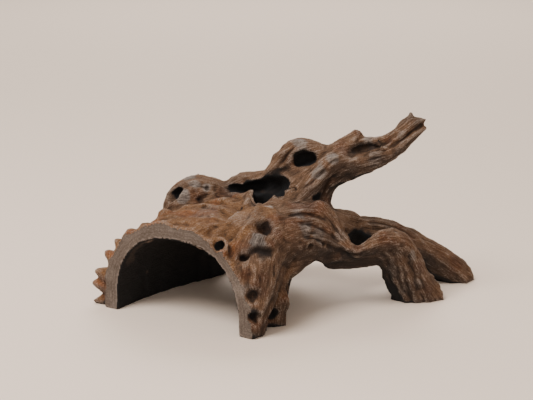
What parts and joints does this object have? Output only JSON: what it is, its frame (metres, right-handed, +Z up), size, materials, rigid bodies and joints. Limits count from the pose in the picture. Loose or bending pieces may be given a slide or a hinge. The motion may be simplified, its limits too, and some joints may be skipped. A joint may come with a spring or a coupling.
{
  "type": "driftwood root",
  "caption": "Hollow driftwood root with an arched mouth, a tunnel to the back, an open top and a torn branch, standing on its own root ends",
  "frame": {"origin": "middle of the bounding box, on the ground plane the feet stand on", "axes": "+X to the right along the root's length, +Y to its back, +Z up"},
  "size_m": [0.3546, 0.1762, 0.1692],
  "materials": {
    "driftwood": "weathered, rough, with open grain"
  },
  "bodies": {
    "root": {"driftwood_root": "driftwood"}
  },
  "joints": []
}
